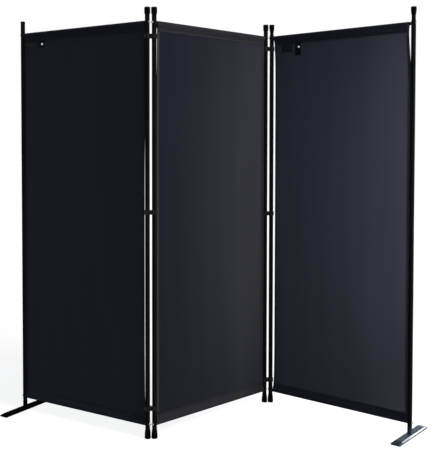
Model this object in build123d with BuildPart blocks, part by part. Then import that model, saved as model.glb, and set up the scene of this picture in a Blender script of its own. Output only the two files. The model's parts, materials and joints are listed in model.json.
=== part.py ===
# Folding room divider screen: three cloth panels on tube frames, hinged in a zigzag.
# Millimetres, Z up. The middle panel runs along X and its front faces -Y.
# The origin is on the floor, in the middle of the box round the whole screen.
import os
from math import asin, cos, radians, sin

from build123d import *

# Layout on the floor
post_spacing = 660.0
hinge_spacing = 27.0
left_bend = 75.4
right_bend = 82.5
middle_centre = (40.06, 0.71)

# Posts: plugged tubes, reduced where one end enters another piece
post_radius = 9.5
post_wall = 1.0
post_joint_height = 868.0
plug_radius = 8.43
plug_length = 45.0
post_top = 1694.0
cap_top = 1700.0
slack = 0.05

# Rails and what bolts them to the posts
rail_radius = 6.5
rail_wall = 1.0
rail_start = 11.7
rail_heights = (57.0, 1641.0)
bolt_radius = 2.5
bolt_hole_radius = 2.7
bolt_head_radius = 4.8
bolt_head_height = 2.8
bolt_reach = 31.0
insert_reach = 34.0

# Cloth: a single sheet, folded round each rail and stitched below it
cloth_thickness = 0.6
sleeve_gap = 0.4
seam_distance = 34.0

# Hinge clips
clip_height = 18.0
clip_radius = 12.4
clip_waist = 13.0
left_clip_heights = {"bottom": 120.0, "middle": 898.0, "top": 1587.0}
right_clip_heights = {"bottom": 102.0, "middle": 857.0, "top": 1593.0}

# End feet: shallow pressed trays with a socket tube on top
foot_length = 270.0
foot_width = 40.0
foot_height = 10.0
foot_lip = 5.0
foot_end_slope = 28.0
foot_side_slope = 6.0
foot_wall = 1.5
foot_corner = 4.0
socket_radius = 8.5
socket_top = 38.0

# Sewn trim near the top of the side panels: left edge, right edge, bottom and top
labels = {"left": (18.0, 82.0, 1587.0, 1605.0), "right": (54.0, 108.0, 1573.0, 1606.0)}
straps = {"left": (97.0, 128.0, 1582.0, 1610.0), "right": (123.5, 151.5, 1554.0, 1613.0)}
studs = {"left": (115.8, 1594.5), "right": (141.2, 1591.0)}

os.makedirs("parts", exist_ok=True)


def floor_point(start, heading, distance):
    """The point a given distance away from another along a compass heading."""
    return (start[0] + distance * cos(radians(heading)), start[1] + distance * sin(radians(heading)))


def floor_plane(point, heading):
    """A floor plane at a point, its X turned to the heading."""
    turned = (cos(radians(heading)), sin(radians(heading)), 0)
    return Plane(origin=(point[0], point[1], 0), x_dir=turned, z_dir=(0, 0, 1))


def front_plane(panel, along=0.0):
    """The panel's own upright plane, seen from the front."""
    return Plane(origin=panel.from_local_coords((along, 0, 0)), x_dir=panel.x_dir, z_dir=-panel.y_dir)


def cross_plane(panel, along, height=0.0):
    """An upright plane square to the panel, its normal along the rails."""
    return Plane(origin=panel.from_local_coords((along, 0, height)), x_dir=panel.y_dir, z_dir=panel.x_dir)


def keep(piece, name):
    """Name a finished piece and write it out."""
    piece.part.label = name
    export_step(piece.part, f"parts/{name}.step")


# Where the panels stand: each plane has its origin at the foot of the panel's left post
half_panel = post_spacing / 2
middle_left = (middle_centre[0] - half_panel, middle_centre[1])
middle_right = (middle_centre[0] + half_panel, middle_centre[1])
left_right = floor_point(middle_left, 180 - left_bend / 2, hinge_spacing)
left_left = floor_point(left_right, 180 - left_bend, post_spacing)
right_left = floor_point(middle_right, -right_bend / 2, hinge_spacing)
panels = {
    "left": floor_plane(left_left, -left_bend),
    "middle": floor_plane(middle_left, 0),
    "right": floor_plane(right_left, -right_bend),
}
sides = {"left": 0.0, "right": post_spacing}


def turned_piece(panel, along, outline, hole_height=None):
    """Spin a radius and height outline about an upright axis, and drill it for a rail bolt."""
    with BuildPart() as piece:
        with BuildSketch(front_plane(panel, along)):
            with BuildLine():
                Polyline(*outline, close=True)
            make_face()
        revolve(axis=Axis(panel.from_local_coords((along, 0, 0)), (0, 0, 1)))
        if hole_height is not None:
            with BuildSketch(cross_plane(panel, along - 2 * post_radius, hole_height)):
                Circle(bolt_hole_radius)
            extrude(amount=4 * post_radius, mode=Mode.SUBTRACT)
    return piece


def lower_post(panel_name, side):
    """The lower tube of a post, with a reduced end on top that plugs into the upper tube."""
    panel = panels[panel_name]
    along = sides[side]
    inner = post_radius - post_wall
    plug_inner = plug_radius - post_wall
    joint = post_joint_height
    if panel_name == side:
        # An end post is reduced at the bottom too, to turn in its foot socket
        start = [(plug_inner, foot_height + 0.1), (plug_radius, foot_height + 0.1)]
        start += [(plug_radius, socket_top + 4), (post_radius, socket_top + 6)]
        finish = [(inner, socket_top + 8), (plug_inner, socket_top + 5)]
    else:
        start = [(inner, 4.0), (post_radius, 4.0)]
        finish = []
    shoulder = [(post_radius, joint - 2), (plug_radius, joint), (plug_radius, joint + plug_length)]
    bore = [(plug_inner, joint + plug_length), (plug_inner, joint - 1), (inner, joint - 4)]
    tube = turned_piece(panel, along, start + shoulder + bore + finish, rail_heights[0])
    keep(tube, f"{panel_name}_{side}_post_lower")


def top_lift(panel_name, side):
    """The far right post stands a little higher than the rest."""
    return 6.0 if (panel_name, side) == ("right", "right") else 0.0


def upper_post(panel_name, side):
    """The upper tube of a post. The right panel's tubes are reduced above the rail."""
    panel = panels[panel_name]
    along = sides[side]
    inner = post_radius - post_wall
    top = post_top + top_lift(panel_name, side)
    outline = [(inner, post_joint_height), (post_radius, post_joint_height)]
    if panel_name == "right":
        neck = 8.0
        outline += [(post_radius, 1652.0), (neck, 1656.0), (neck, top)]
        outline += [(neck - post_wall, top), (neck - post_wall, 1655.0), (inner, 1650.0)]
    else:
        outline += [(post_radius, top), (inner, top)]
    tube = turned_piece(panel, along, outline, rail_heights[1])
    keep(tube, f"{panel_name}_{side}_post_upper")


def top_cap(panel_name, side):
    """The plastic cap on a post: a slim plug on the far left, pushed-on heads elsewhere."""
    lift = top_lift(panel_name, side)
    top = cap_top + lift
    if (panel_name, side) == ("left", "left"):
        stem = post_radius - post_wall - slack
        outline = [(0, 1670), (stem, 1670), (stem, post_top), (9.7, post_top)]
        outline += [(9.7, top - 1.6), (8.4, top), (0, top)]
    elif panel_name == "right":
        bore = 8.0 + slack
        outline = [(bore, top - 32), (8.9, top - 32), (11.1, top - 16), (11.1, top - 2)]
        outline += [(9.6, top), (0, top), (0, top - 4), (bore, top - 4)]
    else:
        bore = post_radius + slack
        outline = [(bore, top - 27.5), (10.4, top - 27.5), (11.8, top - 22), (11.8, top - 2)]
        outline += [(10.3, top), (0, top), (0, top - 4), (bore, top - 4)]
    cap = turned_piece(panels[panel_name], sides[side], outline)
    keep(cap, f"{panel_name}_{side}_top_cap")


def foot_cap(panel_name, side):
    """The flared plastic cap that a hinge post stands in."""
    bore = post_radius + slack
    outline = [(0, 0), (11.3, 0), (12.5, 1.8), (12.3, 12), (11.7, 22), (10.4, 34)]
    outline += [(bore, 34), (bore, 4), (0, 4)]
    cap = turned_piece(panels[panel_name], sides[side], outline)
    keep(cap, f"{panel_name}_{side}_foot_cap")


def rail(panel_name, level, height):
    """A cross tube between the two posts of a panel."""
    with BuildPart() as tube:
        with BuildSketch(cross_plane(panels[panel_name], rail_start, height)):
            Circle(rail_radius)
            Circle(rail_radius - rail_wall, mode=Mode.SUBTRACT)
        extrude(amount=post_spacing - 2 * rail_start)
    keep(tube, f"{panel_name}_{level}_rail")


def inward_plane(panel, side, reach, height):
    """A plane square to the rail at a reach from a post's axis, its normal into the panel."""
    plane = cross_plane(panel, sides[side] + (reach if side == "left" else -reach), height)
    return plane if side == "left" else -plane


def rail_inserts(panel_name):
    """Threaded plugs in the rail ends, each with a saddle that seats on its post."""
    panel = panels[panel_name]
    collar_end = rail_start - slack
    with BuildPart() as inserts:
        for side in sides:
            for height in rail_heights:
                with BuildSketch(inward_plane(panel, side, 0, height)):
                    Circle(rail_radius)
                extrude(amount=collar_end)
                with BuildSketch(inward_plane(panel, side, collar_end, height)):
                    Circle(rail_radius - rail_wall - slack)
                extrude(amount=insert_reach - collar_end)
                with BuildSketch(inward_plane(panel, side, 0, height)):
                    Circle(bolt_radius + slack)
                extrude(amount=insert_reach, mode=Mode.SUBTRACT)
            with BuildSketch(Plane(panel.from_local_coords((sides[side], 0, 0)), z_dir=(0, 0, 1))):
                Circle(post_radius + slack)
            extrude(amount=cap_top, mode=Mode.SUBTRACT)
    keep(inserts, f"{panel_name}_rail_inserts")


def rail_bolts(panel_name):
    """Dome-headed bolts, put in from the outer side of each post."""
    panel = panels[panel_name]
    seat = post_radius + slack
    crown = seat + bolt_head_height
    rim = seat + 0.7
    dome_radius = (bolt_head_radius**2 + (crown - rim) ** 2) / (2 * (crown - rim))
    halfway = asin(bolt_head_radius / dome_radius) / 2
    shoulder = crown - dome_radius * (1 - cos(halfway))
    with BuildPart() as bolts:
        for side in sides:
            inward = 1 if side == "left" else -1
            for height in rail_heights:
                with BuildSketch(front_plane(panel, sides[side])):
                    with BuildLine():
                        Polyline(
                            (-inward * crown, height),
                            (inward * bolt_reach, height),
                            (inward * bolt_reach, height + bolt_radius),
                            (-inward * seat, height + bolt_radius),
                            (-inward * seat, height + bolt_head_radius),
                            (-inward * rim, height + bolt_head_radius),
                        )
                        ThreePointArc(
                            (-inward * rim, height + bolt_head_radius),
                            (-inward * shoulder, height + dome_radius * sin(halfway)),
                            (-inward * crown, height),
                        )
                    make_face()
                axis_point = panel.from_local_coords((sides[side], 0, height))
                revolve(axis=Axis(axis_point, panel.x_dir))
    keep(bolts, f"{panel_name}_rail_bolts")


def sleeve_outline(height, seam, grow):
    """The drop-shaped outline round a rail, drawn in to the seam."""
    with BuildSketch() as drop:
        with Locations((0, height)):
            Circle(rail_radius + sleeve_gap + grow)
        with Locations((0, seam)):
            Rectangle(2 * grow + 0.02, 2.0)
        make_hull()
    return drop.sketch_local


# Side edges of the three sheets, from the bottom up, measured from the left post's axis
cloth_edges = {
    "left": (
        [(10.9, 40), (11.2, 600), (11.2, 1100), (10.9, 1660)],
        [(646.5, 40), (645.5, 95), (640.0, 150), (638.8, 320), (638.8, 1050),
         (641.0, 1230), (645.8, 1370), (646.5, 1480), (646.5, 1660)],
    ),
    "middle": (
        [(13.5, 40), (14.2, 600), (14.2, 1100), (13.5, 1660)],
        [(646.5, 40), (645.8, 600), (645.8, 1100), (646.5, 1660)],
    ),
    "right": (
        [(14.0, 40), (15.5, 70), (20.5, 110), (22.0, 250), (22.0, 1400),
         (21.0, 1560), (15.5, 1625), (14.0, 1660)],
        [(648.6, 40), (648.4, 600), (648.4, 1350), (647.0, 1490), (639.5, 1570), (637.0, 1660)],
    ),
}


def cloth(panel_name):
    """A cloth sheet with a sleeve at each rail and gently drawn-in side edges."""
    panel = panels[panel_name]
    low_rail, high_rail = rail_heights
    low_seam = low_rail + seam_distance
    high_seam = high_rail - seam_distance
    left_edge, right_edge = cloth_edges[panel_name]
    with BuildPart() as sheet:
        with BuildSketch(cross_plane(panel, 5.0)):
            with Locations((0, (low_seam + high_seam) / 2)):
                Rectangle(cloth_thickness, high_seam - low_seam)
            add(sleeve_outline(high_rail, high_seam, cloth_thickness))
            add(sleeve_outline(low_rail, low_seam, cloth_thickness))
            add(sleeve_outline(high_rail, high_seam + 2, 0.0), mode=Mode.SUBTRACT)
            add(sleeve_outline(low_rail, low_seam - 2, 0.0), mode=Mode.SUBTRACT)
        extrude(amount=post_spacing - 10)
        with BuildSketch(front_plane(panel)):
            with BuildLine():
                Spline(*left_edge)
                Line(left_edge[-1], right_edge[-1])
                Spline(*right_edge)
                Line(right_edge[0], left_edge[0])
            make_face()
        extrude(amount=20, both=True, mode=Mode.INTERSECT)
    keep(sheet, f"{panel_name}_cloth")


def hinge_clips(hinge_name, pivot, heading, heights):
    """Figure-of-eight clips, one ring running on each post of the hinge."""
    base = floor_plane(pivot, heading)
    for level, height in heights.items():
        with BuildPart() as clip:
            with BuildSketch(base.offset(height - clip_height / 2)):
                with Locations((0, 0), (hinge_spacing, 0)):
                    Circle(clip_radius)
                with Locations((hinge_spacing / 2, 0)):
                    Rectangle(hinge_spacing, clip_waist)
                with Locations((0, 0), (hinge_spacing, 0)):
                    Circle(post_radius + slack, mode=Mode.SUBTRACT)
            extrude(amount=clip_height)
            rims = clip.edges().filter_by(GeomType.CIRCLE)
            chamfer(rims.filter_by(lambda rim: rim.radius > post_radius + 1), 0.8)
        keep(clip, f"{hinge_name}_clip_{level}")


def tray_block(plane, inset, lip, height):
    """A flat-topped block with an upright lip and sloping shoulders."""
    length = foot_length - 2 * inset
    width = foot_width - 2 * inset
    corner = foot_corner - inset
    with BuildPart() as block:
        with BuildSketch(plane):
            RectangleRounded(length, width, corner)
        extrude(amount=lip)
        with BuildSketch(plane.offset(lip)):
            RectangleRounded(length, width, corner)
        with BuildSketch(plane.offset(height)):
            RectangleRounded(length - 2 * foot_end_slope, width - 2 * foot_side_slope, corner)
        loft()
    return block.part


def foot_plate(panel_name):
    """The pressed foot across the end of a side panel, hollow underneath."""
    panel = panels[panel_name]
    point = panel.from_local_coords((sides[panel_name], 0, 0))
    plane = Plane(origin=point, x_dir=panel.y_dir, z_dir=(0, 0, 1))
    with BuildPart() as plate:
        add(tray_block(plane, 0.0, foot_lip, foot_height))
        add(tray_block(plane, foot_wall, foot_lip - 1.0, foot_height - foot_wall), mode=Mode.SUBTRACT)
    keep(plate, f"{panel_name}_foot_plate")


def foot_socket(panel_name):
    """The tube on the foot that the reduced end of the post turns in, with its weld bead."""
    outline = [(socket_radius, foot_height), (11.6, foot_height), (post_radius, foot_height + 2.6)]
    outline += [(post_radius, socket_top), (socket_radius, socket_top)]
    socket = turned_piece(panels[panel_name], sides[panel_name], outline)
    keep(socket, f"{panel_name}_foot_socket")


def patch(panel_name, box, depth, thickness, corner, name):
    """A thin sewn piece in front of the cloth."""
    left, right, bottom, top = box
    with BuildPart() as piece:
        with BuildSketch(front_plane(panels[panel_name]).offset(depth)):
            with Locations(((left + right) / 2, (bottom + top) / 2)):
                RectangleRounded(right - left, top - bottom, corner)
        extrude(amount=thickness)
    keep(piece, name)


def press_stud(panel_name, centre, depth):
    """The domed cap of the press stud on a strap."""
    with BuildPart() as stud:
        with BuildSketch(front_plane(panels[panel_name]).offset(depth)):
            with Locations(centre):
                Circle(4.6)
        extrude(amount=2.2)
        outward = Axis(panels[panel_name].origin, -panels[panel_name].y_dir)
        chamfer(stud.faces().sort_by(outward)[-1].edges(), 1.2)
    keep(stud, f"{panel_name}_press_stud")


for panel_name in panels:
    for side in sides:
        lower_post(panel_name, side)
        upper_post(panel_name, side)
        top_cap(panel_name, side)
        if panel_name != side:
            foot_cap(panel_name, side)
    rail(panel_name, "bottom", rail_heights[0])
    rail(panel_name, "top", rail_heights[1])
    rail_inserts(panel_name)
    rail_bolts(panel_name)
    cloth(panel_name)

hinge_clips("left", middle_left, 180 - left_bend / 2, left_clip_heights)
hinge_clips("right", middle_right, -right_bend / 2, right_clip_heights)

for panel_name in ("left", "right"):
    foot_plate(panel_name)
    foot_socket(panel_name)
    patch(panel_name, labels[panel_name], 0.75, 0.6, 1.0, f"{panel_name}_label")
    patch(panel_name, straps[panel_name], 2.3, 1.2, 3.0, f"{panel_name}_strap")
    press_stud(panel_name, studs[panel_name], 3.5)
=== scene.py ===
# %% [markdown]
# # A folding room divider screen
# Three sheets of dark cloth are stretched on black tube frames that stand in a zigzag.
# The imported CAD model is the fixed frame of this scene: its tubes, rails and clips stay as they are.
# What is soft, sewn, rounded or bright is modelled here and set round that frame.

# %% Load the frame
import json
from math import asin, cos, pi, radians, sin

import bmesh
import bpy
from mathutils import Matrix, Vector, noise


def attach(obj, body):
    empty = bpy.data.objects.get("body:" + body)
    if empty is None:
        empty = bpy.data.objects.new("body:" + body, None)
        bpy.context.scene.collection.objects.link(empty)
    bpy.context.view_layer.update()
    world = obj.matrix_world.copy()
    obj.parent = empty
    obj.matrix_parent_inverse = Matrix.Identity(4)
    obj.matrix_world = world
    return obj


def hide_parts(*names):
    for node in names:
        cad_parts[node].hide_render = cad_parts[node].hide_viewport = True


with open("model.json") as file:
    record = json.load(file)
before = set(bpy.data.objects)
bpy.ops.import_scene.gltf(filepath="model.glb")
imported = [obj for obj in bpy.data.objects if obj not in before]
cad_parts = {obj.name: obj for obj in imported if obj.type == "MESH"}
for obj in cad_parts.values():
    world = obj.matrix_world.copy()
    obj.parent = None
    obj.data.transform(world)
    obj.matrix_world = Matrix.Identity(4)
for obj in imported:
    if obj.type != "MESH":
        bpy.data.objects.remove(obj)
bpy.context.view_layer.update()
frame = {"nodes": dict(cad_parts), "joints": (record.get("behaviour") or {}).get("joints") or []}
scene = bpy.context.scene
scene.view_settings.view_transform = "Standard"

# %% [markdown]
# ## Where the three panels stand
# Every hinge of the screen turns about the axis of a post, so the joints already say where the posts are.
# Each panel gets its own drawing frame: x runs along the panel from its left post, y to the back, z up.
# A piece can then be modelled upright and straight, and one matrix turns it into its place.

# %% Panel frames from the joints
pivots = {joint["name"]: Vector(joint["pos_m"]) for joint in frame["joints"]}
post_axes = {
    "left": (pivots["left_foot_swivel"], pivots["left_panel_fold"]),
    "middle": (pivots["left_clip_turn"], pivots["right_clip_turn"]),
    "right": (pivots["right_panel_fold"], pivots["right_foot_swivel"]),
}
UP = Vector((0, 0, 1))
panel_frames = {}
for panel, (first, last) in post_axes.items():
    along = (last - first).normalized()
    turn_to_panel = Matrix((along, UP.cross(along), UP)).transposed().to_4x4()
    panel_frames[panel] = Matrix.Translation(first) @ turn_to_panel
    print(panel, "panel is", round((last - first).length, 4), "m between its posts")
post_spacing = (post_axes["middle"][1] - post_axes["middle"][0]).length

# %% [markdown]
# ## The camera
# The photograph was taken from about chest height, a little to the left, with the lens almost level.
# Its frame was cut so that the lens axis is left of and above the middle, which the shift repeats.
# The picture is taller than wide, so Blender lays the sensor's width along its height.

# %% Camera
PICTURE_WIDTH, PICTURE_HEIGHT = 435, 449
FOCAL_PIXELS = 786.6
LENS_AXIS = (175.5, 173.8)
lens = bpy.data.cameras.new("camera")
lens.sensor_width = 36.0
lens.lens = FOCAL_PIXELS * lens.sensor_width / PICTURE_HEIGHT
lens.shift_x = (PICTURE_WIDTH / 2 - LENS_AXIS[0]) / PICTURE_HEIGHT
lens.shift_y = (LENS_AXIS[1] - PICTURE_HEIGHT / 2) / PICTURE_HEIGHT
camera = bpy.data.objects.new("camera", lens)
camera.location = (-2.3139, -2.3313, 1.152)
camera.rotation_euler = (radians(88.1), 0, radians(-42.5))
scene.collection.objects.link(camera)
scene.camera = camera
print("lens", round(lens.lens, 2), "mm, shift", round(lens.shift_x, 4), round(lens.shift_y, 4))

# %% [markdown]
# ## A short way to write node trees
# Every finish below is a few texture nodes feeding one shader. The first helpers make a node, set its
# options, and fill or link its inputs in one line. The others name what most finishes do: soft noise,
# rescaled values, blends of two colours, and a skin raised by a texture.

# %% Node helpers
def fill(node, inputs):
    """Give a node its inputs; each is either a value or the output of another node."""
    for socket, value in inputs.items():
        if isinstance(value, bpy.types.NodeSocket):
            node.id_data.links.new(value, node.inputs[socket])
        else:
            node.inputs[socket].default_value = value


def add_node(tree, kind, inputs=None, **options):
    """Make a node, set its options and fill its inputs."""
    made = tree.nodes.new(kind)
    for option, value in options.items():
        setattr(made, option, value)
    fill(made, inputs or {})
    return made


def start_finish(name):
    """A new material, its node tree and its shader."""
    finish = bpy.data.materials.new(name)
    finish.use_nodes = True
    return finish, finish.node_tree, finish.node_tree.nodes["Principled BSDF"]


def blend_colours(tree, share, first, second):
    """A colour that runs from the first to the second with the share."""
    return add_node(tree, "ShaderNodeMix", {0: share, 6: first, 7: second}, data_type="RGBA").outputs[2]


def stretch(tree, value, low, high, new_low=0.0, new_high=1.0):
    """Rescale a texture's value to another range."""
    limits = {"From Min": low, "From Max": high, "To Min": new_low, "To Max": new_high}
    return add_node(tree, "ShaderNodeMapRange", {"Value": value, **limits}).outputs["Result"]


def soft_noise(tree, place, scale, detail, roughness=0.5):
    """Smooth random patches; the scale says how many there are to a metre."""
    settings = {"Vector": place, "Scale": scale, "Detail": detail, "Roughness": roughness}
    return add_node(tree, "ShaderNodeTexNoise", settings).outputs["Fac"]


def emboss(tree, shader, height, depth, strength):
    """Let a texture raise the skin for the light, without changing the mesh."""
    skin = add_node(tree, "ShaderNodeBump", {"Height": height, "Distance": depth, "Strength": strength})
    fill(shader, {"Normal": skin.outputs["Normal"]})


print("node helpers ready")

# %% [markdown]
# ## Hard black finishes
# Powder coat and moulded plastic are close relatives to the eye: near black, with a fine pebbled skin.
# They differ in how fine the pebbles are, how evenly they shine, and how scuffs show.
# One recipe with different numbers keeps them a family. Large soft noise varies the tone and the gloss,
# fine noise lifts the skin, and a sharp noise leaves a few pale rub marks.

# %% Recipe for coated and moulded surfaces
def hard_finish(name, dark, light, gloss, pebble_size, pebble_depth, shine, rub_colour, rub_share):
    finish, tree, shader = start_finish(name)
    place = add_node(tree, "ShaderNodeTexCoord").outputs["Object"]
    tone = stretch(tree, soft_noise(tree, place, 14.0, 4.0), 0.3, 0.7)
    worn = stretch(tree, soft_noise(tree, place, 95.0, 7.0, 0.7), 1.0 - rub_share, 1.02 - rub_share)
    body = blend_colours(tree, tone, dark, light)
    polish = stretch(tree, soft_noise(tree, place, 38.0, 5.0), 0.25, 0.75, *gloss)
    fill(shader, {"Base Color": blend_colours(tree, worn, body, rub_colour), "Roughness": polish,
                  "Specular IOR Level": shine})
    emboss(tree, shader, soft_noise(tree, place, 1.0 / pebble_size, 1.5), pebble_depth, 0.5)
    print("finish:", name)
    return finish


MM = 0.001
BLACK_RUB, SLATE_RUB = (0.012, 0.012, 0.013, 1), (0.06, 0.07, 0.082, 1)
frame_paint = hard_finish(
    "black_powder_coat", dark=(0.0042, 0.0042, 0.0046, 1), light=(0.007, 0.007, 0.0076, 1),
    gloss=(0.36, 0.5), pebble_size=0.9 * MM, pebble_depth=0.12 * MM, shine=0.01, rub_colour=BLACK_RUB,
    rub_share=0.26)
cap_plastic = hard_finish(
    "black_cap_plastic", dark=(0.0007, 0.0007, 0.0008, 1), light=(0.0015, 0.0015, 0.0017, 1),
    gloss=(0.45, 0.6), pebble_size=0.5 * MM, pebble_depth=0.06 * MM, shine=0.016,
    rub_colour=(0.01, 0.01, 0.011, 1), rub_share=0.26)
clip_plastic = hard_finish(
    "black_clip_plastic", dark=(0.0012, 0.0012, 0.0014, 1), light=(0.0025, 0.0025, 0.0028, 1),
    gloss=(0.34, 0.46), pebble_size=0.6 * MM, pebble_depth=0.1 * MM, shine=0.12, rub_colour=BLACK_RUB,
    rub_share=0.27)
foot_paints = {
    "left": hard_finish(
        "black_foot_paint", dark=(0.0018, 0.0018, 0.002, 1), light=(0.0034, 0.0034, 0.0037, 1),
        gloss=(0.5, 0.62), pebble_size=1.1 * MM, pebble_depth=0.08 * MM, shine=0.0, rub_colour=BLACK_RUB,
        rub_share=0.26),
    # The right foot's slate colour is painted reflection of a bluish light; the foot itself is black.
    "right": hard_finish(
        "foot_paint_painted_reflection", dark=(0.016, 0.024, 0.034, 1), light=(0.024, 0.035, 0.05, 1),
        gloss=(0.2, 0.3), pebble_size=1.1 * MM, pebble_depth=0.08 * MM, shine=0.05, rub_colour=SLATE_RUB,
        rub_share=0.27),
}

# %% [markdown]
# ## Bright metal
# The bolt heads are zinc plated, the press studs nickel plated, and the hidden inserts blackened steel.
# All are metals, so their colour sits in the reflection. Zinc is cloudy with a slight colour cast,
# so its gloss and tint wander with noise, and fine scratches break up the highlight.

# %% Recipe for plated metal
def plated_finish(name, pale, cast, gloss):
    finish, tree, shader = start_finish(name)
    place = add_node(tree, "ShaderNodeTexCoord").outputs["Object"]
    clouds = soft_noise(tree, place, 420.0, 3.0)
    tint = blend_colours(tree, stretch(tree, clouds, 0.35, 0.65), pale, cast)
    fill(shader, {"Base Color": tint, "Roughness": stretch(tree, clouds, 0.3, 0.7, *gloss),
                  "Metallic": 1.0})
    scratches = soft_noise(tree, place, 2600.0, 2.0)
    emboss(tree, shader, scratches, 0.03 * MM, 0.4)
    print("finish:", name)
    return finish


# The bolts' zinc is darker than bright zinc: painted shade, standing in for the dark posts and gap it
# reflects.
bolt_zinc_painted_shade = plated_finish("zinc_painted_shade", (0.36, 0.36, 0.35, 1), (0.24, 0.245, 0.235, 1), (0.24, 0.4))
stud_metal = plated_finish("plated_stud", (0.74, 0.74, 0.74, 1), (0.62, 0.62, 0.63, 1), (0.14, 0.26))
insert_steel = plated_finish("blackened_steel", (0.05, 0.05, 0.055, 1), (0.03, 0.03, 0.034, 1), (0.4, 0.55))

# %% [markdown]
# ## The screen cloth
# The sheets are thin plain-woven polyester, charcoal with a blue cast, with a coating that makes the back
# darker than the face. The middle sheet, which stands with its back to the front, has a greyer, lighter
# copy of the face cloth: painted light, standing in for the different light on that panel. Light from
# behind comes through the weave, so a single layer glows a little and the doubled sleeves don't.
# The weave follows a map laid on the cloth in metres: a checker decides whether the warp or the weft
# thread lies on top, and a sine rounds each thread. Long thin noise makes some yarns a shade lighter, and
# wider noise leaves the faint upright bars that a long warp has. Where a bar is open, it glows more.

# %% Woven cloth finish
WEAVE, WEBBING_WEAVE = 0.7 * MM, 1.4 * MM
GLOW_SHARE, HEM_GLOW_SHARE = 0.118, 0.6
DENSE_GLOW, OPEN_GLOW = (0.92, 0.92, 0.92, 1), (0.98, 0.98, 0.98, 1)


def calculate(tree, operation, *values, **options):
    """A calculation with one or two numbers."""
    made = add_node(tree, "ShaderNodeMath", dict(enumerate(values)), operation=operation, **options)
    return made.outputs[0]


def round_threads(tree, direction, pitch):
    """The heights across a row of round threads."""
    wave = calculate(tree, "SINE", calculate(tree, "MULTIPLY", direction, pi / pitch))
    return calculate(tree, "ABSOLUTE", wave)


def upright_noise(tree, laid, across, upwards, detail):
    """Noise drawn out along the warp."""
    drawn = add_node(tree, "ShaderNodeMapping", {"Vector": laid, "Scale": (across, upwards, 1.0)})
    return soft_noise(tree, drawn.outputs["Vector"], 1.0, detail)


def woven_finish(name, dark, light, pitch=WEAVE, glow_share=GLOW_SHARE):
    finish, tree, shader = start_finish(name)
    laid = add_node(tree, "ShaderNodeUVMap", uv_map="cloth_map").outputs["UV"]
    parts = add_node(tree, "ShaderNodeSeparateXYZ", {"Vector": laid})
    warp, weft = (round_threads(tree, parts.outputs[axis], pitch) for axis in "XY")
    turns = add_node(tree, "ShaderNodeTexChecker", {"Vector": laid, "Scale": 1.0 / pitch}).outputs["Fac"]
    crossing = add_node(tree, "ShaderNodeMix", {"Factor": turns, "A": warp, "B": weft}, data_type="FLOAT")
    top = crossing.outputs[0]
    slubs = upright_noise(tree, laid, 620.0, 5.0, 2.0)
    bars = upright_noise(tree, laid, 17.0, 0.8, 3.0)
    threads = blend_colours(tree, stretch(tree, calculate(tree, "ADD", slubs, bars), 0.8, 1.2), dark, light)
    # The colour is darkened between the rounded threads and lightened on their tops: painted shade of the
    # weave.
    shade = stretch(tree, top, 0.0, 1.0, 0.72, 1.08)
    coloured = add_node(tree, "ShaderNodeVectorMath", {0: threads, 1: shade}, operation="MULTIPLY")
    fill(shader, {"Base Color": coloured.outputs[0], "Roughness": stretch(tree, top, 0.0, 1.0, 0.95, 0.8),
                  "Specular IOR Level": 0.06, "Sheen Weight": 0.02, "Sheen Roughness": 0.6})
    emboss(tree, shader, top, 0.12 * MM, 0.35)
    if glow_share:
        glow = blend_colours(tree, stretch(tree, bars, 0.35, 0.65), DENSE_GLOW, OPEN_GLOW)
        through = add_node(tree, "ShaderNodeBsdfTranslucent", {"Color": glow})
        layers = {0: glow_share, 1: shader.outputs[0], 2: through.outputs[0]}
        both = add_node(tree, "ShaderNodeMixShader", layers)
        fill(tree.nodes["Material Output"], {"Surface": both.outputs[0]})
    print("finish:", name)
    return finish


blue_face = woven_finish(
    "charcoal_polyester_face", (0.0176, 0.0187, 0.0322, 1), (0.0211, 0.0224, 0.0384, 1))
# The middle sheet's face: a greyer, lighter copy of the face cloth, painted light for that panel.
middle_face_painted_light = woven_finish(
    "charcoal_polyester_grey_face", (0.0232, 0.023, 0.0296, 1), (0.0278, 0.0276, 0.0352, 1))
cloth_back = woven_finish(
    "charcoal_polyester_back", (0.0085, 0.009, 0.0182, 1), (0.0102, 0.0108, 0.0218, 1))
blue_hem = woven_finish(
    "charcoal_polyester_hem", (0.0395, 0.0395, 0.058, 1), (0.0475, 0.0475, 0.0695, 1),
    glow_share=HEM_GLOW_SHARE)
# A lighter copy of the middle face cloth, for the middle panel's left hem only: painted light.
middle_hem_painted_light = woven_finish(
    "charcoal_polyester_grey_hem", (0.038, 0.0378, 0.0486, 1), (0.0456, 0.0453, 0.0577, 1))
strap_webbing = woven_finish(
    "black_webbing", (0.0016, 0.0016, 0.0019, 1), (0.0036, 0.0036, 0.004, 1), WEBBING_WEAVE, glow_share=0.0)

# %% [markdown]
# The labels are woven satin with a black selvedge round a dark grey field, left bare.
# How far a point lies from the label's rim is kept on the mesh as an attribute, which the finish reads.

# %% Label finish
label_cloth, tree, shader = start_finish("bare_label_satin")
rim = add_node(tree, "ShaderNodeAttribute", attribute_name="rim").outputs["Fac"]
laid = add_node(tree, "ShaderNodeUVMap", uv_map="cloth_map").outputs["UV"]
satin = add_node(tree, "ShaderNodeTexWave", {"Vector": laid, "Scale": 900.0, "Distortion": 0.6},
                 bands_direction="Y").outputs["Fac"]
field = blend_colours(tree, satin, (0.006, 0.006, 0.007, 1), (0.0105, 0.0105, 0.012, 1))
inside = stretch(tree, rim, 3.5 * MM, 4.5 * MM)
fill(shader, {"Base Color": blend_colours(tree, inside, (0.0012, 0.0012, 0.0014, 1), field),
              "Roughness": stretch(tree, satin, 0.0, 1.0, 0.5, 0.7), "Specular IOR Level": 0.1})
emboss(tree, shader, satin, 0.06 * MM, 0.4)
print("finish:", label_cloth.name)

# %% [markdown]
# Sewing thread is two plies twisted together, a touch shinier than the cloth it holds.
# A wave texture set slanting across each stitch suggests the twist.

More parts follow.
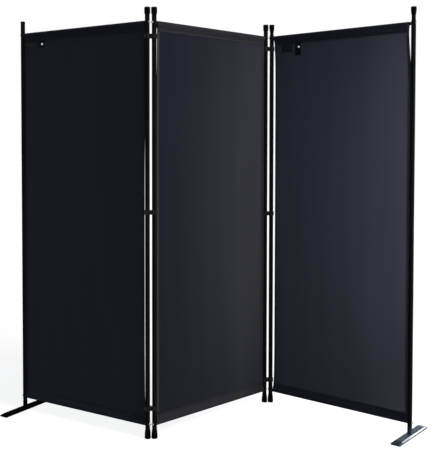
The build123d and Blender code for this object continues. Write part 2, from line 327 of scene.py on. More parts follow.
# %% Sewing thread finish
sewing_thread, tree, shader = start_finish("black_sewing_thread")
place = add_node(tree, "ShaderNodeTexCoord").outputs["Object"]
twist = add_node(tree, "ShaderNodeTexWave", {"Vector": place, "Scale": 420.0, "Distortion": 1.2},
                 bands_direction="DIAGONAL").outputs["Fac"]
fill(shader, {"Base Color": blend_colours(tree, twist, (0.006, 0.006, 0.008, 1), (0.02, 0.02, 0.026, 1)),
              "Roughness": stretch(tree, twist, 0.0, 1.0, 0.6, 0.4), "Specular IOR Level": 0.2})
emboss(tree, shader, twist, 0.1 * MM, 0.6)
print("finish:", sewing_thread.name)

# %% [markdown]
# ## Dress the CAD pieces that stay
# The tubes, rails, sockets, clips and inserts have the right shape already.
# They only change finish, by putting a material in the slots of their meshes.

# %% Finishes for the tubes, rails, sockets, clips and inserts
kept_finishes = {"post": frame_paint, "rail_inserts": insert_steel, "rail": frame_paint,
                 "left_foot_socket": foot_paints["left"], "right_foot_socket": foot_paints["right"],
                 "clip": clip_plastic}
dressed = 0
for node_name, node_object in frame["nodes"].items():
    for word, finish in kept_finishes.items():
        if word in node_name:
            node_object.data.materials.clear()
            node_object.data.materials.append(finish)
            dressed += 1
            break
print(dressed, "CAD nodes dressed")

# %% [markdown]
# ## Finishing a new piece
# A new piece is shaped in a bmesh, moved to its place, and written to a mesh whose object stays at the
# origin. Smooth shading with sharp edges kept by angle suits turned and pressed parts alike.

# %% Helpers that finish a piece
def write_mesh(name, shape):
    """Write the bmesh out to a new mesh."""
    mesh = bpy.data.meshes.new(name)
    shape.to_mesh(mesh)
    shape.free()
    return mesh


def finish_piece(name, shape, finish, body, place=None, sharp=40.0):
    """Make the bmesh an object that rides on a body of the frame."""
    if place is not None:
        bmesh.ops.transform(shape, matrix=place, verts=shape.verts)
    mesh = write_mesh(name, shape)
    mesh.shade_smooth()
    mesh.set_sharp_from_angle(angle=radians(sharp))
    mesh.materials.append(finish)
    piece = bpy.data.objects.new(name, mesh)
    scene.collection.objects.link(piece)
    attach(piece, body)
    return piece


def lay_map(shape, up_layer=None):
    """Lay the cloth map in metres: along the panel, and up it or along the cloth's own length."""
    laid = shape.loops.layers.uv.new("cloth_map")
    for face in shape.faces:
        for corner in face.loops:
            point = corner.vert
            corner[laid].uv = (point.co.x, point[up_layer] if up_layer else point.co.z)


print("piece helpers ready")

# %% [markdown]
# ## How the cloth hangs
# The side edges of the sheets are not straight: where a sheet isn't tight, it draws in from the post and
# leaves a gap that light shows through. The lists give each edge's distance from the left post and its
# height, in millimetres going up.
# The sheet itself is almost flat, with faint upright folds where the sleeve gathers and a shallow belly.
# Smooth noise, stretched upwards, gives such folds without any two being alike.

# %% Edges and folds of the sheets
RAIL_HEIGHTS = (0.057, 1.641)
SEAM_HEIGHTS = (0.091, 1.607)
PLEATS, WAVES, BELLY = 0.9 * MM, 2.2 * MM, 2.5 * MM
ROUNDING = [step * 12 * MM for step in range(-3, 4)]
cloth_edges = {
    "left": ([(10.9, 40), (11.2, 600), (11.2, 1100), (10.9, 1660)],
             [(650.0, 40), (650.0, 95), (647.6, 160), (646.6, 320), (646.6, 1050), (648.0, 1230),
              (650.0, 1370), (650.0, 1660)]),
    "middle": ([(9.8, 40), (9.8, 1200), (10.6, 1300), (12.4, 1400), (14.2, 1500), (14.8, 1660)],
               [(646.5, 40), (645.8, 600), (645.8, 1100), (646.5, 1660)]),
    "right": ([(14.0, 40), (15.5, 75), (18.4, 115), (19.4, 250), (19.4, 1400), (18.6, 1545), (15.0, 1612),
               (14.0, 1660)],
              [(650.2, 40), (650.2, 1480), (648.4, 1518), (643.4, 1560), (641.6, 1615), (640.8, 1660)]),
}
fold_seeds = {"left": 3.1, "middle": 11.7, "right": 23.4}


def edge_at(points, height):
    """The edge's distance from the left post at a height, in metres."""
    level = min(max(height / MM, points[0][1]), points[-1][1])
    for (near, low), (far, high) in zip(points, points[1:]):
        if level <= high:
            return (near + (far - near) * (level - low) / (high - low)) * MM


def smooth_edge(panel, side, height):
    """The edge with its corners rounded off by averaging over a hand's width."""
    points = cloth_edges[panel][side]
    return sum(edge_at(points, height + offset) for offset in ROUNDING) / len(ROUNDING)


def fade(value, start, end):
    """A smooth step from 0 at start to 1 at end."""
    share = min(max((value - start) / (end - start), 0.0), 1.0)
    return share * share * (3 - 2 * share)


def fold_depth(panel, along, height):
    """How far the sheet stands out of its plane, towards the back."""
    low_seam, high_seam = SEAM_HEIGHTS
    free = fade(height, low_seam, low_seam + 0.1) * (1 - fade(height, high_seam - 0.1, high_seam))
    gather = 0.35 + 0.65 * fade(height, 0.9, 1.55) + 0.4 * (1 - fade(height, 0.12, 0.5))
    seed = fold_seeds[panel]
    pleat = noise.noise(Vector((along / 0.05, height / 0.9, seed)))
    wave = noise.noise(Vector((along / 0.17, height / 1.3, seed + 40)))
    belly = sin(pi * along / post_spacing) * sin(pi * (height - low_seam) / (high_seam - low_seam))
    return free * (PLEATS * gather * pleat + WAVES * wave + BELLY * belly)


print("edge of the right sheet at 1.57 m:", round(smooth_edge("right", 1, 1.57), 4))

# %% [markdown]
# ## The sheets with their sleeves
# Each sheet is one length of cloth. It wraps round the rail at each end and is stitched back on itself,
# so the rail lies in a drop-shaped sleeve, and a finger's width of cloth is left past the stitching.
# The middle panel is the same panel turned round: its loose ends and hems face the front.
# The profile is drawn first, seen from the end: a vertex spun round each rail, joined by straight runs.
# The way along the profile is added up point by point, because the cloth's map follows it.

# %% Draw the sheet's profile
WRAP, CLOTH = 7.2 * MM, 0.6 * MM
STITCH_DISTANCE, LOOSE_END = 24 * MM, 10 * MM
PINCH, FLARE = 0.75 * MM, 2.0 * MM
ARC_STEPS, SHORT_CUTS, LONG_CUTS = 12, 5, 80
SHORTEST_RUN, LONGEST_SHORT_RUN = 8 * MM, 40 * MM
loose_side = {"left": 1, "middle": -1, "right": 1}


def points_in(items):
    """The points among the items that an operator gives back."""
    return [item for item in items if isinstance(item, bmesh.types.BMVert)]


def wrap_arc(shape, rail, inward, outward):
    """Spin a vertex round a rail from the loose side to the face side; give back its two ends."""
    lean = asin(WRAP / STITCH_DISTANCE)
    start = shape.verts.new((0, outward * WRAP * cos(lean), rail + inward * WRAP * sin(lean)))
    turn = -outward * inward * (pi + 2 * lean)
    arc = bmesh.ops.spin(shape, geom=[start], cent=(0, 0, rail), axis=(1, 0, 0), angle=turn, steps=ARC_STEPS)
    return start, points_in(arc["geom_last"])[0]


def sheet_profile(outward):
    """The sheet seen from its end, from one loose end to the other, and its length."""
    shape = bmesh.new()
    stitched = []
    for rail, inward in zip(RAIL_HEIGHTS, (1, -1)):
        stitch_height = rail + inward * STITCH_DISTANCE
        loose_end = shape.verts.new((0, outward * FLARE, stitch_height + inward * LOOSE_END))
        loose_stitch = shape.verts.new((0, outward * PINCH, stitch_height))
        face_stitch = shape.verts.new((0, 0, stitch_height))
        arc_start, arc_end = wrap_arc(shape, rail, inward, outward)
        for pair in ((loose_end, loose_stitch), (loose_stitch, arc_start), (arc_end, face_stitch)):
            shape.edges.new(pair)
        stitched.append(face_stitch)
    shape.edges.new(stitched)
    short_runs = [edge for edge in shape.edges if SHORTEST_RUN < edge.calc_length() < LONGEST_SHORT_RUN]
    bmesh.ops.subdivide_edges(shape, edges=short_runs, cuts=SHORT_CUTS)
    main_run = max(shape.edges, key=lambda edge: edge.calc_length())
    bmesh.ops.subdivide_edges(shape, edges=[main_run], cuts=LONG_CUTS)
    length = shape.verts.layers.float.new("length")
    point = min((p for p in shape.verts if len(p.link_edges) == 1), key=lambda p: p.co.z)
    came_by, travelled = None, 0.0
    while point is not None:
        point[length] = travelled
        onward = [edge for edge in point.link_edges if edge is not came_by]
        came_by = onward[0] if onward else None
        travelled += came_by.calc_length() if came_by else 0.0
        point = came_by.other_vert(point) if came_by else None
    return shape, travelled


profile, cut_length = sheet_profile(1)
print("profile of", len(profile.verts), "points,", round(cut_length, 4), "m of cloth")
profile.free()

# %% [markdown]
# A spin with no angle but a step is a sweep. It draws the profile out along the panel in whole steps, and
# each column of points is then moved to its distance along the panel, closer together near the side edges,
# so that the edges can draw in and the middle stays light in points. Small gathers pucker the sleeves, and
# a Solidify modifier gives the cloth its thickness and the finish of its back.

# %% Sweep the sheets
EDGE_COLUMNS = [0, 1, 3, 6, 10, 16]
MIDDLE_COLUMNS = 150
COLUMNS = 2 * len(EDGE_COLUMNS) + MIDDLE_COLUMNS
HEM_TURN, END_TURN = 11 * MM, 8 * MM
CLOTH_SHARP = 80.0
cloth_faces = {"left": blue_face, "middle": middle_face_painted_light, "right": blue_face}


def sheet_columns(panel, height):
    """Distances along the panel of the sheet's columns at a height."""
    left, right = smooth_edge(panel, 0, height), smooth_edge(panel, 1, height)
    near = [left + step * MM for step in EDGE_COLUMNS]
    far = [right - step * MM for step in reversed(EDGE_COLUMNS)]
    gap = (far[0] - near[-1]) / (MIDDLE_COLUMNS + 1)
    return near + [near[-1] + gap * (k + 1) for k in range(MIDDLE_COLUMNS)] + far


def thicken(piece, thickness, offset=0.0, back=None):
    """Give a skin its real thickness and, where it has one, the finish of its back."""
    body = piece.modifiers.new("thickness", "SOLIDIFY")
    body.thickness = thickness
    body.offset = offset
    if back:
        piece.data.materials.append(back)
        body.material_offset = 1


def sleeve_pucker(panel, point):
    """How far a sleeve puffs out between its rail and its stitching, in small uneven gathers."""
    rail = min(RAIL_HEIGHTS, key=lambda height: abs(height - point.z))
    inward = 1 if rail == RAIL_HEIGHTS[0] else -1
    share = inward * (point.z - rail) / STITCH_DISTANCE
    if not 0.0 < share < 1.0:
        return 0.0
    gathers = noise.noise(Vector((point.x / 0.016, point.z / 0.05, fold_seeds[panel] + 80)))
    swells = noise.noise(Vector((point.x / 0.07, point.z / 0.2, fold_seeds[panel] + 95)))
    puff = sin(pi * share) ** 1.5 * (0.8 + 0.75 * gathers + 0.7 * swells)
    return max(puff, 0.0) * MM * (1 if point.y > 0 else -1)


def whole(shape):
    """All points, edges and faces of a shape."""
    return shape.verts[:] + shape.edges[:] + shape.faces[:]


def sweep(shape, geometry, step, steps, copies=False):
    """Draw geometry out in equal steps, or copy it at each step."""
    bmesh.ops.spin(shape, geom=geometry, cent=(0, 0, 0), axis=UP, angle=0.0, dvec=step, steps=steps,
                   use_duplicate=copies)


def make_sheet(panel):
    shape, cut_length = sheet_profile(loose_side[panel])
    sweep(shape, whole(shape), (1, 0, 0), COLUMNS - 1)
    rows = {}
    for point in shape.verts:
        height = round(point.co.z, 5)
        if height not in rows:
            rows[height] = sheet_columns(panel, height)
        point.co.x = rows[height][round(point.co.x)]
        point.co.y += fold_depth(panel, point.co.x, point.co.z) + sleeve_pucker(panel, point.co)
    bmesh.ops.recalc_face_normals(shape, faces=shape.faces)
    open_face = min(shape.faces, key=lambda face: abs(face.calc_center_median().z - 0.8))
    if open_face.normal.y * loose_side[panel] > 0:
        bmesh.ops.reverse_faces(shape, faces=shape.faces[:])
    lay_map(shape, shape.verts.layers.float["length"])
    piece = finish_piece(f"{panel}_sheet", shape, cloth_faces[panel], f"{panel}_panel",
                         panel_frames[panel], CLOTH_SHARP)
    thicken(piece, CLOTH, back=cloth_back)
    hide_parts(f"{panel}_cloth")
    width = smooth_edge(panel, 1, 0.8) - smooth_edge(panel, 0, 0.8) + 2 * HEM_TURN
    return piece, (round(width, 3), round(cut_length + 2 * END_TURN, 3))


sheets = {}
flat_sizes = {}
for panel in panel_frames:
    sheets[panel], flat_sizes[panel] = make_sheet(panel)
    print(panel, "sheet", len(sheets[panel].data.vertices), "vertices, cut to", flat_sizes[panel])

# %% [markdown]
# ## Hems
# The side edges are turned over once and stitched, which leaves a soft roll along the very edge. The hem
# is drawn in cross-section and swept upwards, then follows the edge and the folds of its sheet.
# It doubles the cloth, and the outer panels have it at their back. On the middle panel it faces the front.
# There the left hem has a lighter copy of the face cloth: painted light, for the light its roll catches from
# the left.

# %% Hems
HEM_SECTION = [(0.2, 0.35), (0.9, 1.25), (2.4, 1.9), (4.4, 2.0), (6.6, 1.6), (8.6, 1.05), (10.2, 1.15),
               (11.4, 1.4)]
HEM_STEPS = 100
HEM_GAP = 3 * MM
hem_finishes = {"left": (blue_hem,) * 3, "middle": (middle_hem_painted_light, cloth_back, middle_face_painted_light),
                "right": (blue_hem,) * 3}


def draw_chain(shape, places):
    """A chain of edges through the places, ready to sweep or spin."""
    chain = [shape.verts.new(place) for place in places]
    return chain + [shape.edges.new(pair) for pair in zip(chain, chain[1:])]


def make_hems(panel):
    shape = bmesh.new()
    low, high = [height + inward * HEM_GAP for height, inward in zip(SEAM_HEIGHTS, (1, -1))]
    for side, inward in ((0, 1), (1, -1)):
        section = [(side + inward * along * MM, lift * MM, low) for along, lift in HEM_SECTION]
        sweep(shape, draw_chain(shape, section), (0, 0, (high - low) / HEM_STEPS), HEM_STEPS)
    for point in shape.verts:
        side = round(point.co.x)
        point.co.x += smooth_edge(panel, side, point.co.z) - side
        point.co.y = loose_side[panel] * point.co.y + fold_depth(panel, point.co.x, point.co.z)
    shape.normal_update()
    away = [face for face in shape.faces if face.normal.y * loose_side[panel] < 0]
    bmesh.ops.reverse_faces(shape, faces=away)
    lay_map(shape)
    for face in shape.faces:
        face.material_index = 2 if face.calc_center_median().x > post_spacing / 2 else 0
    left_face, back, right_face = hem_finishes[panel]
    piece = finish_piece(f"{panel}_side_hems", shape, left_face, f"{panel}_panel",
                         panel_frames[panel], CLOTH_SHARP)
    thicken(piece, CLOTH, back=back)
    piece.data.materials.append(right_face)
    piece.data.materials.append(back)
    return piece


hems = {panel: make_hems(panel) for panel in sheets}
print("hems:", ", ".join(piece.name for piece in hems.values()))

# %% [markdown]
# ## Stitching
# A lockstitch shows as a row of short raised dashes. One stitch is a small squashed icosphere. A sweep
# that copies makes a run of twenty, and a second sweep copies the run, which is far quicker than a few
# hundred single steps.

# %% A row of stitches
STITCH_STEP = 4.4 * MM
STITCH_SIZE = (1.65 * MM, 0.42 * MM, 0.3 * MM)
STITCH_FACES = 20
RUN, SEAM_RUNS, HEM_RUNS = 20, 7, 17


def stitch_row(name, step, runs):
    """A mesh with a row of stitches that starts at the origin."""
    shape = bmesh.new()
    lengthwise = step.to_track_quat("X", "Y").to_matrix().to_4x4()
    bmesh.ops.create_icosphere(shape, subdivisions=1, radius=1.0,
                               matrix=lengthwise @ Matrix.Diagonal((*STITCH_SIZE, 1)))
    for stride, copies in ((step, RUN - 1), (step * RUN, runs - 1)):
        sweep(shape, whole(shape), stride, copies, copies=True)
    return write_mesh(name, shape)


seam_row = stitch_row("seam_row", Vector((STITCH_STEP, 0, 0)), SEAM_RUNS)
hem_row = stitch_row("hem_row", Vector((0, 0, STITCH_STEP)), HEM_RUNS)
print("stitches in a seam and a hem:", *(len(row.polygons) // STITCH_FACES for row in (seam_row, hem_row)))

# %% [markdown]
# Both faces of a sheet show every row. The seams run straight along the rails; the hem rows follow the
# sheet's edge and its folds. Where the cloth is doubled, on the loose side, a row lies a little higher.
# Hems and stitching ride on their panel's body, as the sheet does.

# %% Lay the rows on the sheets
SEAM_OFFSET = STITCH_DISTANCE + 0.5 * MM
HEM_ROW_DISTANCE, HEM_ROW_START = 8.6 * MM, 12 * MM
HEM_SKIN = 1.05 * MM


def add_copy(shape, mesh):
    """Add a copy of a mesh to the shape and give back its points."""
    already = len(shape.verts)
    shape.from_mesh(mesh)
    shape.verts.ensure_lookup_table()
    return shape.verts[already:]


def make_stitching(panel):
    shape = bmesh.new()
    for face in (-1, 1):
        on_loose_side = face == loose_side[panel]
        for rail, inward in zip(RAIL_HEIGHTS, (1, -1)):
            height = rail + inward * SEAM_OFFSET
            left, right = smooth_edge(panel, 0, height), smooth_edge(panel, 1, height)
            start = (left + right - (SEAM_RUNS * RUN - 1) * STITCH_STEP) / 2
            skin = (PINCH if on_loose_side else 0.0) + CLOTH / 2
            for point in add_copy(shape, seam_row):
                point.co += Vector((start, face * skin, height))
        for side, inward in ((0, 1), (1, -1)):
            skin = (HEM_SKIN if on_loose_side else 0.0) + CLOTH / 2
            for point in add_copy(shape, hem_row):
                point.co.z += SEAM_HEIGHTS[0] + HEM_ROW_START
                along = smooth_edge(panel, side, point.co.z) + inward * HEM_ROW_DISTANCE
                point.co.x += along
                point.co.y += face * skin + fold_depth(panel, along, point.co.z)
    return finish_piece(f"{panel}_stitching", shape, sewing_thread, f"{panel}_panel",
                        panel_frames[panel])


for panel, sheet in sheets.items():
    stitching = make_stitching(panel)
    print(panel, "stitching", len(stitching.data.polygons), "faces")

# %% [markdown]
# ## Labels, straps and press studs
# Two panels carry a small sewn label and a webbing strap just under the top sleeve; the strap has a
# press stud. The labels are left bare. A grid makes the patch, its corners are rounded with a vertex
# bevel, and its edge is turned slightly to the cloth, as a sewn edge is. The straps hang a little free.

# %% Sewn patches
patch_boxes = {
    "left_label": (18.0, 82.0, 1587.0, 1605.0), "right_label": (54.0, 108.0, 1573.0, 1606.0),
    "left_strap": (97.0, 128.0, 1582.0, 1610.0), "right_strap": (123.5, 151.5, 1554.0, 1613.0),
}
PATCH_COLUMNS, PATCH_ROWS = 18, 12
SEWN_EDGE, STRAP_HANG = 3 * MM, 1.5 * MM


def round_off(shape, geometry, size, segments, affect="EDGES", clamp=False):
    """Bevel edges or corners to a rounded form."""
    bmesh.ops.bevel(shape, geom=geometry, offset=size, offset_type="OFFSET", segments=segments, profile=0.5,
                    affect=affect, material=-1, clamp_overlap=clamp)


def make_patch(name, depth, thickness, corner, swell, finish):
    panel, kind = name.split("_")
    left, right, bottom, top = [value * MM for value in patch_boxes[name]]
    shape = bmesh.new()
    middle = Matrix.Translation(((left + right) / 2, 0, (bottom + top) / 2))
    half_size = Matrix.Diagonal(((right - left) / 2, (top - bottom) / 2, 1, 1))
    grid = bmesh.ops.create_grid(shape, x_segments=PATCH_COLUMNS, y_segments=PATCH_ROWS, size=1.0,
                                 matrix=middle @ Matrix.Rotation(pi / 2, 4, "X") @ half_size)
    corners = [point for point in grid["verts"] if len(point.link_edges) == 2]
    round_off(shape, corners, corner, 3, affect="VERTICES")
    rim = shape.verts.layers.float.new("rim")
    for point in shape.verts:
        point[rim] = min(point.co.x - left, right - point.co.x, point.co.z - bottom, top - point.co.z)
        raised = fade(point[rim], 0.0, SEWN_EDGE)
        hang = fade(top - point.co.z, 0.0, top - bottom) if kind == "strap" else 0.0
        forward = depth + swell * raised + STRAP_HANG * hang
        point.co.y = fold_depth(panel, point.co.x, point.co.z) - forward
    bmesh.ops.recalc_face_normals(shape, faces=shape.faces)
    lay_map(shape)
    piece = finish_piece(name + "_patch", shape, finish, f"{panel}_panel",
                         panel_frames[panel])
    thicken(piece, thickness)
    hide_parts(name)
    return piece


for panel in ("left", "right"):
    label = make_patch(f"{panel}_label", depth=0.95 * MM, thickness=0.6 * MM, corner=1.5 * MM,
                       swell=0.5 * MM, finish=label_cloth)
    strap = make_patch(f"{panel}_strap", depth=2.6 * MM, thickness=1.2 * MM, corner=3.5 * MM,
                       swell=0.4 * MM, finish=strap_webbing)
    print("patches:", label.name, strap.name)

# %% [markdown]
# ## Turned pieces
# Caps, studs and bolt heads are all round about one axis. Their half outline is a chain of edges that is
# spun through a full turn with its seam merged. Doubles at the axis are then merged, normals are set
# outwards, and the edges that are still sharp get a small rounded bevel, as moulded parts have. Where two
# bevels meet they leave doubled points, so these are merged once more.

# %% Helper for turned pieces
SAME_POINT, SHARP_RIM = 0.01 * MM, radians(25)


def turned_shape(outline, steps=40, rounding=0.5 * MM):
    """Spin an outline of radius and height about the z axis and round its sharp rims."""
    shape = bmesh.new()
    half = draw_chain(shape, [(radius * MM, 0, height * MM) for radius, height in outline])
    bmesh.ops.spin(shape, geom=half, cent=(0, 0, 0), axis=UP, angle=2 * pi, steps=steps, use_merge=True)
    bmesh.ops.remove_doubles(shape, verts=shape.verts, dist=SAME_POINT)
    bmesh.ops.recalc_face_normals(shape, faces=shape.faces)
    creases = [edge for edge in shape.edges if len(edge.link_faces) == 2]
    rims = [edge for edge in creases if edge.calc_face_angle() > SHARP_RIM]
    if rounding and rims:
        round_off(shape, rims, rounding, 3, clamp=True)
        bmesh.ops.remove_doubles(shape, verts=shape.verts, dist=SAME_POINT)
    return shape


print("turning helper ready")

# %% [markdown]
# ## Post caps
# Pushed-on plastic heads close the posts at the top; the far left post has a slim plug instead, and the
# right panel's heads taper. Flared caps carry the hinge posts on the floor. Real caps have a shallow dish
# in the top from the moulding gate and a faint grip ring, which the outlines include. The heads' outlines
# give radius and drop below the top, from the inside round the rim to the dish.

# %% Caps
POST_TOP, RIGHT_END_TOP = 1700.0, 1706.0
SLIM_PLUG = [(0, 30), (8.45, 30), (8.45, 6), (9.7, 6), (9.7, 1.5), (8.6, 0), (5.0, 0), (4.4, 0.4), (0, 0.4)]
TAPERED_HEAD = [(0, 5), (8.08, 5), (8.08, 32), (8.9, 32), (10.9, 16.5), (11.1, 14), (11.1, 6.2), (10.8, 5.8),
                (10.8, 5.2), (11.1, 4.8), (11.1, 1.6), (9.6, 0), (5.5, 0), (4.8, 0.5), (0, 0.5)]
ROUND_HEAD = [(0, 5), (9.58, 5), (9.58, 27.5), (10.4, 27.5), (11.6, 22.5), (11.8, 20.5), (11.8, 6.2),
              (11.5, 5.8), (11.5, 5.2), (11.8, 4.8), (11.8, 1.7), (10.3, 0), (5.8, 0), (5.1, 0.5), (0, 0.5)]
FOOT_CAP = [(0, 0.6), (8.6, 0.6), (9.4, 0), (11.2, 0), (12.5, 1.8), (12.45, 8), (12.2, 13), (11.75, 21),
            (11.2, 27), (10.5, 33.3), (10.3, 34), (9.58, 34), (9.58, 30), (0, 30)]
heads = {"left": ROUND_HEAD, "middle": ROUND_HEAD, "right": TAPERED_HEAD}


def head_outline(panel, side):
    """The head's radii and heights; the two end posts differ from the rest."""
    drops = SLIM_PLUG if panel == side == "left" else heads[panel]
    top = RIGHT_END_TOP if panel == side == "right" else POST_TOP
    return [(radius, top - drop) for radius, drop in drops]


caps_made = 0
for panel, axes in post_axes.items():
    for side, axis in zip(("left", "right"), axes):
        outlines = {"top": head_outline(panel, side)}
        if panel != side:
            outlines["foot"] = FOOT_CAP
        for end, outline in outlines.items():
            cap = finish_piece(f"{panel}_{side}_{end}_cap_moulded", turned_shape(outline), cap_plastic,
                               f"{panel}_panel", Matrix.Translation(axis))
            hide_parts(f"{panel}_{side}_{end}_cap")
            caps_made += 1
print("caps made:", caps_made)

# %% [markdown]
# ## Rail bolts
# Each rail end is held by a button-head bolt with a hexagon socket. The dome is turned about the bolt's
# own axis with an open crown; a hexagon set in the crown is bridged to it and pushed down for the key.

# %% Bolts
BOLT_OUTLINE = [(2.5, -31), (2.5, 0), (5.2, 0), (5.25, 0.8), (4.95, 1.75), (4.2, 2.55), (3.35, 3.05),
                (2.8, 3.3)]
BOLT_SEAT = 9.55 * MM
KEY_RADIUS, KEY_DEPTH, CROWN_HEIGHT = 2.0 * MM, 2.1 * MM, 3.3 * MM


def bolt_shape():
    """One bolt along z, its seat at zero and its head upwards."""
    shape = turned_shape(BOLT_OUTLINE, steps=24, rounding=0.0)
    crown = [edge for edge in shape.edges if edge.is_boundary and edge.verts[0].co.z > 0]
    bmesh.ops.create_circle(shape, segments=6, radius=KEY_RADIUS,
                            matrix=Matrix.Translation((0, 0, CROWN_HEIGHT)))
    ring = [edge for edge in shape.edges if edge.is_wire]
    bmesh.ops.bridge_loops(shape, edges=crown + ring)
    down = bmesh.ops.extrude_edge_only(shape, edges=ring)["geom"]
    floor_points = points_in(down)
    bmesh.ops.translate(shape, verts=floor_points, vec=(0, 0, -KEY_DEPTH))
    floor_ring = [item for item in down if isinstance(item, bmesh.types.BMEdge)
                  and all(point in floor_points for point in item.verts)]
    tip = [edge for edge in shape.edges if edge.is_boundary and edge not in floor_ring]
    bmesh.ops.contextual_create(shape, geom=floor_ring)
    bmesh.ops.contextual_create(shape, geom=tip)
    bmesh.ops.recalc_face_normals(shape, faces=shape.faces)
    return shape


bolt_mesh = write_mesh("one_bolt", bolt_shape())
for panel, place in panel_frames.items():
    shape = bmesh.new()
    for post, outward in ((0.0, -1), (post_spacing, 1)):
        lie_down = Matrix.Rotation(outward * pi / 2, 4, "Y")
        for height in RAIL_HEIGHTS:
            at_post = Matrix.Translation((post + outward * BOLT_SEAT, 0, height))
            bmesh.ops.transform(shape, matrix=at_post @ lie_down, verts=add_copy(shape, bolt_mesh))
    bolts = finish_piece(f"{panel}_button_bolts", shape, bolt_zinc_painted_shade, f"{panel}_panel", place,
                         sharp=30.0)
    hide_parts(f"{panel}_rail_bolts")
    print(bolts.name, len(bolts.data.polygons), "faces")

# %% [markdown]
# ## Press studs
# A stud's cap is a shallow dome with a rolled rim, turned like the caps and laid on its strap.

# %% Studs
STUD_OUTLINE = [(0, 2.0), (1.6, 1.95), (2.9, 1.65), (3.5, 1.25), (3.7, 0.95), (4.2, 1.0), (4.6, 0.6),
                (4.5, 0.0), (0, 0.0)]
STRAP_FRONT = 4.3 * MM
stud_places = {"left": (115.8, 1594.5), "right": (141.2, 1591.0)}
for panel, (along, height) in stud_places.items():
    forward = STRAP_FRONT - fold_depth(panel, along * MM, height * MM)
    seat = Matrix.Translation((along * MM, -forward, height * MM)) @ Matrix.Rotation(pi / 2, 4, "X")
    stud = finish_piece(f"{panel}_stud_cap", turned_shape(STUD_OUTLINE, steps=28, rounding=0.0), stud_metal,
                        f"{panel}_panel", panel_frames[panel] @ seat, sharp=50.0)
    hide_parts(f"{panel}_press_stud")
    print(stud.name, "at", along, height)

# %% [markdown]
# ## End feet
# The two outer posts stand in flat pressed feet, the left one dull black, the right one a shinier slate.
# That slate colour is painted reflection of a bluish light on black paint like the left foot's.
# A box with its top face drawn in gives the sloping shoulders; bevels round the corners and shoulders as
# pressing does, the bottom is removed, and Solidify turns the skin into sheet metal, hollow underneath.

# %% Pressed feet
FOOT_LENGTH, FOOT_WIDTH, FOOT_LIP, FOOT_HEIGHT = 270 * MM, 40 * MM, 5 * MM, 10 * MM
END_SLOPE, SIDE_SLOPE = 28 * MM, 6 * MM
CORNER_ROUND, SHOULDER_ROUND, SHEET_METAL = 4 * MM, 2.2 * MM, 1.5 * MM


def rise(edge):
    """How much higher one end of an edge is than the other."""
    return abs(edge.verts[0].co.z - edge.verts[1].co.z)


def foot_shape():
    shape = bmesh.new()
    box = Matrix.Translation((0, 0, FOOT_LIP / 2)) @ Matrix.Diagonal((FOOT_WIDTH, FOOT_LENGTH, FOOT_LIP, 1))
    bmesh.ops.create_cube(shape, size=1.0, matrix=box)
    round_off(shape, [edge for edge in shape.edges if rise(edge) > FOOT_LIP / 2], CORNER_ROUND, 5)
    top = [face for face in shape.faces if face.normal.z > 0.9]
    raised = points_in(bmesh.ops.extrude_face_region(shape, geom=top)["geom"])
    bmesh.ops.delete(shape, geom=top, context="FACES")
    narrower = Matrix.Diagonal((1 - 2 * SIDE_SLOPE / FOOT_WIDTH, 1 - 2 * END_SLOPE / FOOT_LENGTH, 1, 1))
    bmesh.ops.transform(shape, matrix=narrower, verts=raised)
    bmesh.ops.translate(shape, verts=raised, vec=(0, 0, FOOT_HEIGHT - FOOT_LIP))
    bmesh.ops.delete(shape, geom=[face for face in shape.faces if face.normal.z < -0.9], context="FACES")
    bmesh.ops.recalc_face_normals(shape, faces=shape.faces)
    level = [edge for edge in shape.edges if len(edge.link_faces) == 2 and rise(edge) < 1 * MM]
    shoulders = [edge for edge in level if edge.calc_face_angle() > radians(8)]
    round_off(shape, shoulders, SHOULDER_ROUND, 4, clamp=True)
    return shape


for panel, along in (("left", 0.0), ("right", post_spacing)):
    place = panel_frames[panel] @ Matrix.Translation((along, 0, 0))
    foot = finish_piece(f"{panel}_pressed_foot", foot_shape(), foot_paints[panel], f"{panel}_foot",
                        place)
    thicken(foot, SHEET_METAL, -1.0)
    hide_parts(f"{panel}_foot_plate")
    print(foot.name, len(foot.data.polygons), "faces")

# %% [markdown]
# A weld bead joins the socket to its foot. A bead is a row of overlapping ripples left by the torch, so
# one flattened ball is copied round the socket by a spin that duplicates. The last copy stops one place
# short of the full turn, where the first ball already is.

# %% Weld beads
BEAD_RING, BEAD_LIFT, RIPPLES = 10.2 * MM, 0.5 * MM, 22
RIPPLE_SIZE = (1.7 * MM, 2.1 * MM, 1.5 * MM)
ripple = Matrix.Translation((BEAD_RING, 0, FOOT_HEIGHT + BEAD_LIFT)) @ Matrix.Diagonal((*RIPPLE_SIZE, 1))
for panel, axis in (("left", post_axes["left"][0]), ("right", post_axes["right"][1])):
    shape = bmesh.new()
    bmesh.ops.create_icosphere(shape, subdivisions=2, radius=1.0, matrix=ripple)
    bmesh.ops.spin(shape, geom=whole(shape), cent=(0, 0, 0), axis=UP, angle=2 * pi * (RIPPLES - 1) / RIPPLES,
                   steps=RIPPLES - 1, use_duplicate=True)
    bead = finish_piece(f"{panel}_foot_weld", shape, foot_paints[panel], f"{panel}_foot",
                        Matrix.Translation(axis))
    print(bead.name, len(bead.data.polygons), "faces")

# %% [markdown]
# ## Floor and background
# The screen stands on a plain pale floor in a white room. The floor keeps the soft shadow; on top of that
# it gives off some light of its own, but only to rays that the camera or a reflection sends, so the
# background is white without any more light falling on the screen. Farther off the floor turns fully white,
# so that it meets the white of the room without a line.

# %% Floor and world
FLOOR_REACH = 60.0
FLOOR_GREY, OWN_LIGHT = (0.2, 0.2, 0.2, 1), 0.88
WHITER_FROM, WHITE_FROM = 3.0, 8.0
AMBIENT, AMBIENT_COLOUR = 0.16, (0.8, 0.9, 1.0, 1)
WHITE = (1, 1, 1, 1)


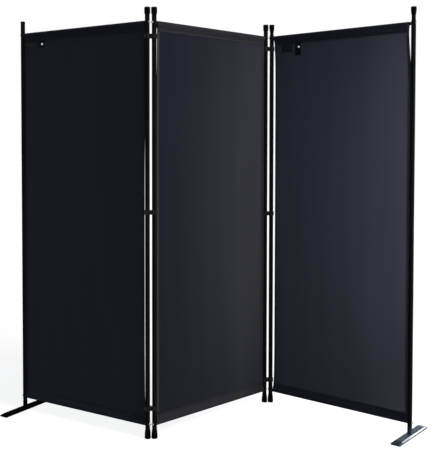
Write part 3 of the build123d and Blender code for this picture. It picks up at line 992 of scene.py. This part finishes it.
def seen_directly(tree):
    """1 for rays from the camera, from reflections and through clear things; 0 for soft light."""
    path = add_node(tree, "ShaderNodeLightPath").outputs
    clear = calculate(tree, "SUBTRACT", path["Is Transmission Ray"], path["Is Diffuse Ray"], use_clamp=True)
    shiny = calculate(tree, "MAXIMUM", path["Is Glossy Ray"], clear)
    return calculate(tree, "MAXIMUM", path["Is Camera Ray"], shiny)


floor_finish, tree, shader = start_finish("pale_floor")
place = add_node(tree, "ShaderNodeTexCoord").outputs["Object"]
distance = add_node(tree, "ShaderNodeVectorMath", {0: place}, operation="LENGTH").outputs["Value"]
whiteness = stretch(tree, distance, WHITER_FROM, WHITE_FROM, OWN_LIGHT, 1.0)
fill(shader, {"Base Color": FLOOR_GREY, "Roughness": 0.9, "Specular IOR Level": 0.0, "Emission Color": WHITE,
              "Emission Strength": calculate(tree, "MULTIPLY", seen_directly(tree), whiteness)})
ground = bmesh.new()
bmesh.ops.create_grid(ground, x_segments=2, y_segments=2, size=FLOOR_REACH)
floor_mesh = write_mesh("floor", ground)
floor_mesh.materials.append(floor_finish)
floor = bpy.data.objects.new("floor", floor_mesh)
scene.collection.objects.link(floor)

world = bpy.data.worlds.new("white_room")
world.use_nodes = True
scene.world = world
room = world.node_tree
sky = room.nodes["Background"]
seen = seen_directly(room)
fill(sky, {"Color": blend_colours(room, seen, AMBIENT_COLOUR, WHITE),
           "Strength": stretch(room, seen, 0.0, 1.0, AMBIENT, 1.0)})
print("white room with soft light of", AMBIENT)

# %% [markdown]
# ## Studio lights
# The main light is large, far off and high, a little to the right: it meets the middle panel squarely and
# only grazes the outer two. A low light from the left fills those, and a small one lifts the top of the
# right panel. The rest comes from behind the cloth. A pale blue sky light from the right tints both outer
# sheets; it is kept out of reflections, which it would turn blue. Two narrow upright lights make the middle
# and right sheets glow towards their right ends, as a window would.
# A small lamp low on the right draws the bright line along the shoulder of the right foot.

# %% Lights
def soft_light(name, place, target, size, power, colour, spread=180.0, reflected=True):
    lamp = bpy.data.lights.new(name, "AREA")
    lamp.color = colour
    lamp.shape = "RECTANGLE"
    lamp.size, lamp.size_y = size
    lamp.energy = power
    lamp.spread = radians(spread)
    holder = bpy.data.objects.new(name, lamp)
    holder.location = place
    holder.rotation_euler = (Vector(target) - Vector(place)).to_track_quat("-Z", "Y").to_euler()
    holder.visible_camera = False
    holder.visible_glossy = reflected
    scene.collection.objects.link(holder)
    print(name, power, "W")


soft_light("front_light", (2.05, -10.56, 9.85), (0, 0, 0.85), (4, 4), 2120, (1.0, 0.97, 0.92))
soft_light("left_light", (-3.5, -0.6, 0.3), (0, -0.1, 0.95), (1.8, 1.8), 13, (1.0, 0.98, 0.96))
soft_light("fill_light", (-0.05, -1.25, 1.3), (0.44, -0.45, 1.5), (0.5, 0.8), 2.4, (0.93, 0.93, 1.0))
soft_light("sky_light", (2.2, 0.0, 1.05), (0.4, -0.1, 1.0), (1.2, 1.6), 18, (0.3, 0.52, 1.0),
           reflected=False)
soft_light("right_light", (1.0, -1.0, 0.93), (0.45, -0.68, 0.89), (0.25, 1.45), 10.6, (0.77, 0.785, 1.0),
           spread=90.0)
soft_light("back_light", (0.35, 0.6, 0.93), (0.34, 0, 0.91), (0.2, 1.5), 5.8, (0.98, 0.985, 1.0),
           spread=110.0)
soft_light("foot_light", (1.28, -0.8, 0.39), (0.48, -0.7, -0.02), (0.25, 0.25), 0.42, (1, 1, 1), spread=24.0)
